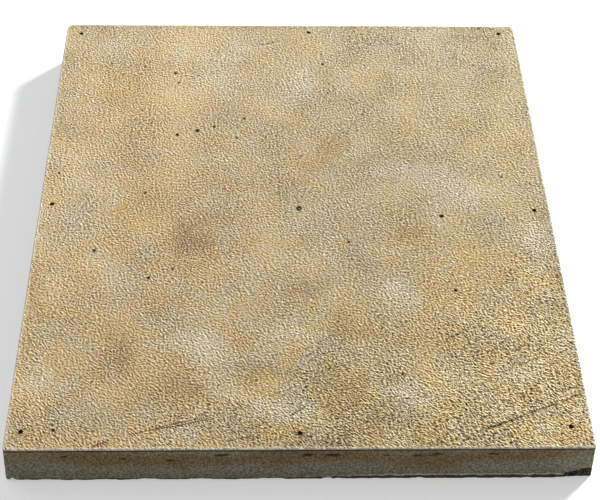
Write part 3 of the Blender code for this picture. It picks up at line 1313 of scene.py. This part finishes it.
class SLAB_OT_backing(bpy.types.Operator):
    """Build the thick backing slab with rough sawn edges, nicks and its broken corner"""

    bl_idname = "slab.build_backing"
    bl_label = "Backing Slab"

    # The broken corner's reach along X, Y and Z in millimetres, as in the frame.
    CORNER_BREAK = (19.0, 1.4, 10.5)

    def execute(self, context):
        sizes = context.scene.slab_sizes
        rows = round((JOINT_BOTTOM - BACKING_LOW.z) / sizes.wall_step)
        heights = np.linspace(BACKING_LOW.z, JOINT_BOTTOM, rows + 1)
        draft = rough_wall(sizes, heights, self.crumbled)
        mesh = draft.mesh("rough_backing")
        mesh.materials.append(material_of(edge_stone))
        solid = bored(mesh, "rough_backing", HOLE_BOTTOM, self.breaks())
        store_share(solid, "recess_shade", np.zeros(len(solid.vertices)))
        piece = place_piece(solid, "rough_backing", [], 40)
        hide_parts("backing_slab")
        return {"FINISHED"}

    def crumbled(self, noise, run, height):
        """How far the bottom edge has crumbled away at a height."""
        up = height / MM
        along = run / MM
        size = 0.5 + 0.9 * np.clip(noise(along / 13 + 21, 0 * along + 33.5) + 0.2, 0, 1)
        size = size + 0.35 * noise(along / 3.2, 0 * along + 61.5)
        return np.clip(size - up, 0, 2) ** 1.5 * 0.55 * MM

    def breaks(self):
        """The lumps that broke out of the bottom edge, as one mesh."""
        mesh = bpy.data.meshes.new("broken_out")
        mesh.materials.append(material_of(broken_stone))
        corner = ((HALF_WIDTH + SIDE_LEAN) / MM, -HALF_DEPTH / MM, *self.CORNER_BREAK)
        with Shaping(mesh) as lumps:
            for number, (x, y, reach_x, reach_y, reach_z) in enumerate((corner, *NICKS)):
                rough = PlanNoise(SEEDS["rock"] + number)
                fineness = 5 if number == 0 else 4
                made = bmesh.ops.create_icosphere(lumps, subdivisions=fineness, radius=1.0)
                for vertex in made["verts"]:
                    self.push_lump(vertex, rough, number == 0)
                    across, along, up = vertex.co
                    height = (BACKING_LOW.z / MM + up * reach_z) * MM
                    vertex.co = ((x + across * reach_x) * MM, (y + along * reach_y) * MM, height)
        return mesh

    def push_lump(self, vertex, rough, large):
        """Roughen a round lump, and flatten a large one's front."""
        place = vertex.co.copy()
        if large:
            place.y = math.copysign(abs(place.y) ** 0.6, place.y)
        turn = math.atan2(place.y, place.x)
        up = place.z * 2.0
        scale = 5.0 if large else 2.2
        coarse = float(rough(np.float64(turn * scale), np.float64(up * scale / 2)))
        fine = float(rough(np.float64(turn * scale * 3.1 + 40), np.float64(up * scale * 1.6)))
        vertex.co = place * (0.93 + (0.10 if large else 0.06) * coarse + 0.06 * fine)


class SLAB_OT_pins(bpy.types.Operator):
    """Give the nine pins their dull steel"""

    bl_idname = "slab.finish_pins"
    bl_label = "Pins"

    def execute(self, context):
        steel = material_of(dull_pin_steel)
        for name in PIN_NAMES:
            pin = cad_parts[name]
            if not pin.material_slots:
                pin.data.materials.append(steel)
            for slot in pin.material_slots:
                slot.material = steel
        return {"FINISHED"}


class SLAB_OT_studio(bpy.types.Operator):
    """Lay the plain floor, hang the soft lights and set the camera"""

    bl_idname = "slab.set_studio"
    bl_label = "Studio"

    FLOOR_RADIUS = 14.0
    FLOOR_DROP = 0.02 * MM

    # The camera's place in metres, its turn in degrees and its lens in millimetres.
    CAMERA_PLACE = (-0.0202, -0.5846, 0.6347)
    CAMERA_TURN = (42.174, -1.132, -1.073)
    CAMERA_LENS = 80.42

    # Lights: name, azimuth from X towards Y and elevation in degrees, distance, size and power.
    # The key light is behind the slab on the right, and a weak fill light on its left.
    LIGHTS = (
        ("key_light", 43, 30, 3.2, 0.60, 173.0),
        ("fill_light", 165, 60, 1.9, 1.2, 4.0),
    )

    def execute(self, context):
        self.lay_floor()
        for light in self.LIGHTS:
            self.area_light(*light)
        self.set_camera(context.scene)
        self.set_sky(context.scene)
        return {"FINISHED"}

    def lay_floor(self):
        """A wide round floor, just under the slab."""
        mesh = bpy.data.meshes.new("pale_floor")
        with Shaping(mesh) as builder:
            bmesh.ops.create_circle(builder, cap_ends=True, segments=96, radius=self.FLOOR_RADIUS)
        mesh.materials.append(material_of(pale_floor))
        floor = add_object("pale_floor", mesh)
        floor.location.z = BACKING_LOW.z - self.FLOOR_DROP

    def area_light(self, name, azimuth, elevation, distance, size, power):
        """A square soft light, aimed at the slab."""
        light = bpy.data.lights.new(name, "AREA")
        light.size = size
        light.energy = power
        lamp = add_object(name, light)
        around, up = math.radians(azimuth), math.radians(elevation)
        level = math.cos(up)
        away = Vector((math.cos(around) * level, math.sin(around) * level, math.sin(up)))
        lamp.location = away * distance
        lamp.rotation_euler = away.to_track_quat("Z", "Y").to_euler()

    def set_camera(self, scene):
        """A camera looking down on the working face from the front."""
        data = bpy.data.cameras.new("camera")
        data.lens = self.CAMERA_LENS
        data.sensor_width = 36.0
        data.clip_start = 0.01
        camera = add_object("camera", data)
        camera.location = self.CAMERA_PLACE
        camera.rotation_euler = Euler([math.radians(angle) for angle in self.CAMERA_TURN])
        scene.camera = camera

    def set_sky(self, scene):
        """An even pale sky, dimmer as a light than it looks."""
        world = bpy.data.worlds.new("studio_air")
        world.use_nodes = True
        scene.world = world
        sheet = Sheet(world.node_tree)
        air = world.node_tree.nodes["Background"]
        seen = sheet.node("ShaderNodeLightPath", output="Is Camera Ray")
        sheet.feed(air.inputs["Color"], (0.93, 0.96, 1.0, 1.0))
        sheet.feed(air.inputs["Strength"], seen * 0.72 + 0.22)
        scene.view_settings.view_transform = "Standard"


class SLAB_PT_panel(bpy.types.Panel):
    """Lists the slab's pieces and settings"""

    bl_idname = "SLAB_PT_panel"
    bl_label = "Stone Slab"
    bl_space_type = "VIEW_3D"
    bl_region_type = "UI"
    bl_category = "Stone Slab"

    def draw(self, context):
        layout = self.layout
        for operator in OPERATORS:
            layout.operator(operator.bl_idname)
        for settings in (context.scene.slab_sizes, context.scene.slab_colours):
            box = layout.box()
            for name in settings.__annotations__:
                box.prop(settings, name)


OPERATORS = (SLAB_OT_facing, SLAB_OT_bed, SLAB_OT_backing, SLAB_OT_pins, SLAB_OT_studio)
CLASSES = (SlabSizes, SlabColours, *OPERATORS, SLAB_PT_panel)


def register():
    """Add the slab's classes and its settings."""
    for item in CLASSES:
        bpy.utils.register_class(item)
    bpy.types.Scene.slab_sizes = bpy.props.PointerProperty(type=SlabSizes)
    bpy.types.Scene.slab_colours = bpy.props.PointerProperty(type=SlabColours)


def unregister():
    """Take the slab's classes and its settings away."""
    del bpy.types.Scene.slab_sizes
    del bpy.types.Scene.slab_colours
    for item in reversed(CLASSES):
        bpy.utils.unregister_class(item)


def main():
    """Build every piece and the studio."""
    register()
    bpy.ops.slab.build_facing()
    bpy.ops.slab.build_bed()
    bpy.ops.slab.build_backing()
    bpy.ops.slab.finish_pins()
    bpy.ops.slab.set_studio()


if __name__ == "__main__":
    main()
